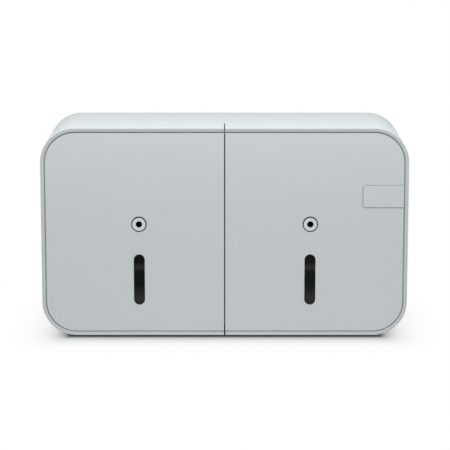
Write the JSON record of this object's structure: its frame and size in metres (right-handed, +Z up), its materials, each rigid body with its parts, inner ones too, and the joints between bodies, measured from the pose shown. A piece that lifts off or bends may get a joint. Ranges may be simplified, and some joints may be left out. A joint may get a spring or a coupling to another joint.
{
  "type": "double roll toilet paper dispenser",
  "caption": "Wide wall dispenser with rounded corners, front covers side by side, a lock and an upright window in each, roll hubs inside and paper outlets in the floor.",
  "frame": {"origin": "middle of the case on its floor face, under the middle of its width and depth", "axes": "+Z up, front covers face -Y, wall side faces +Y, +X to the right of someone who faces the front"},
  "size_m": [0.394, 0.13, 0.226],
  "materials": {
    "casing": "fine satin grain, silver grey",
    "panel": "smooth satin paint, silver grey",
    "inner_plastic": "moulded, matt",
    "hub_plastic": "moulded, matt dark grey",
    "steel": "bright zinc or stainless",
    "lock_face": "satin chrome",
    "lock_black": "matt black",
    "smoked_window": "glossy smoked",
    "brake": "dense felt and rubber"
  },
  "bodies": {
    "casing": {"rear_casing": "casing", "divider_wall": "inner_plastic", "left_outer_tear_bar": "steel", "left_inner_tear_bar": "steel", "right_inner_tear_bar": "steel", "right_outer_tear_bar": "steel", "left_lower_hinge_pin": "steel", "left_upper_hinge_pin": "steel", "right_lower_hinge_pin": "steel", "right_upper_hinge_pin": "steel", "left_axle": "inner_plastic", "left_axle_screw_1": "steel", "left_axle_screw_2": "steel", "left_axle_screw_3": "steel", "right_axle": "inner_plastic", "right_axle_screw_1": "steel", "right_axle_screw_2": "steel", "right_axle_screw_3": "steel", "left_catch_socket": "inner_plastic", "left_socket_screw": "steel", "right_catch_socket": "inner_plastic", "right_socket_screw": "steel"},
    "left_cover": {"left_cover_shell": "casing", "left_face_panel": "panel", "left_window_lens": "smoked_window", "left_lock_housing": "lock_face", "left_lock_nut": "steel", "left_plug_retainer": "steel"},
    "right_cover": {"right_cover_shell": "casing", "right_face_panel": "panel", "right_window_lens": "smoked_window", "right_badge_plate": "panel", "right_lock_housing": "lock_face", "right_lock_nut": "steel", "right_plug_retainer": "steel"},
    "left_lock": {"left_lock_plug": "lock_black", "left_lock_cam": "steel", "left_cam_screw": "steel"},
    "right_lock": {"right_lock_plug": "lock_black", "right_lock_cam": "steel", "right_cam_screw": "steel"},
    "left_hub": {"left_roll_hub": "hub_plastic", "left_brake_ring": "brake"},
    "right_hub": {"right_roll_hub": "hub_plastic", "right_brake_ring": "brake"}
  },
  "joints": [
    {"name": "left_cover_swing", "type": "hinge", "parent": "casing", "child": "left_cover", "pos_m": [-0.194, -0.021, 0.113], "axis": [0, 0, -1], "range_deg": [0, 110]},
    {"name": "right_cover_swing", "type": "hinge", "parent": "casing", "child": "right_cover", "pos_m": [0.194, -0.021, 0.113], "axis": [0, 0, 1], "range_deg": [0, 110]},
    {"name": "left_lock_turn", "type": "hinge", "parent": "left_cover", "child": "left_lock", "pos_m": [-0.092, -0.055, 0.122], "axis": [0, 1, 0], "range_deg": [0, 90]},
    {"name": "right_lock_turn", "type": "hinge", "parent": "right_cover", "child": "right_lock", "pos_m": [0.092, -0.055, 0.122], "axis": [0, 1, 0], "range_deg": [0, 90]},
    {"name": "left_hub_spin", "type": "hinge", "parent": "casing", "child": "left_hub", "pos_m": [-0.092, 0, 0.122], "axis": [0, 1, 0], "continuous": true},
    {"name": "right_hub_spin", "type": "hinge", "parent": "casing", "child": "right_hub", "pos_m": [0.092, 0, 0.122], "axis": [0, 1, 0], "continuous": true}
  ]
}
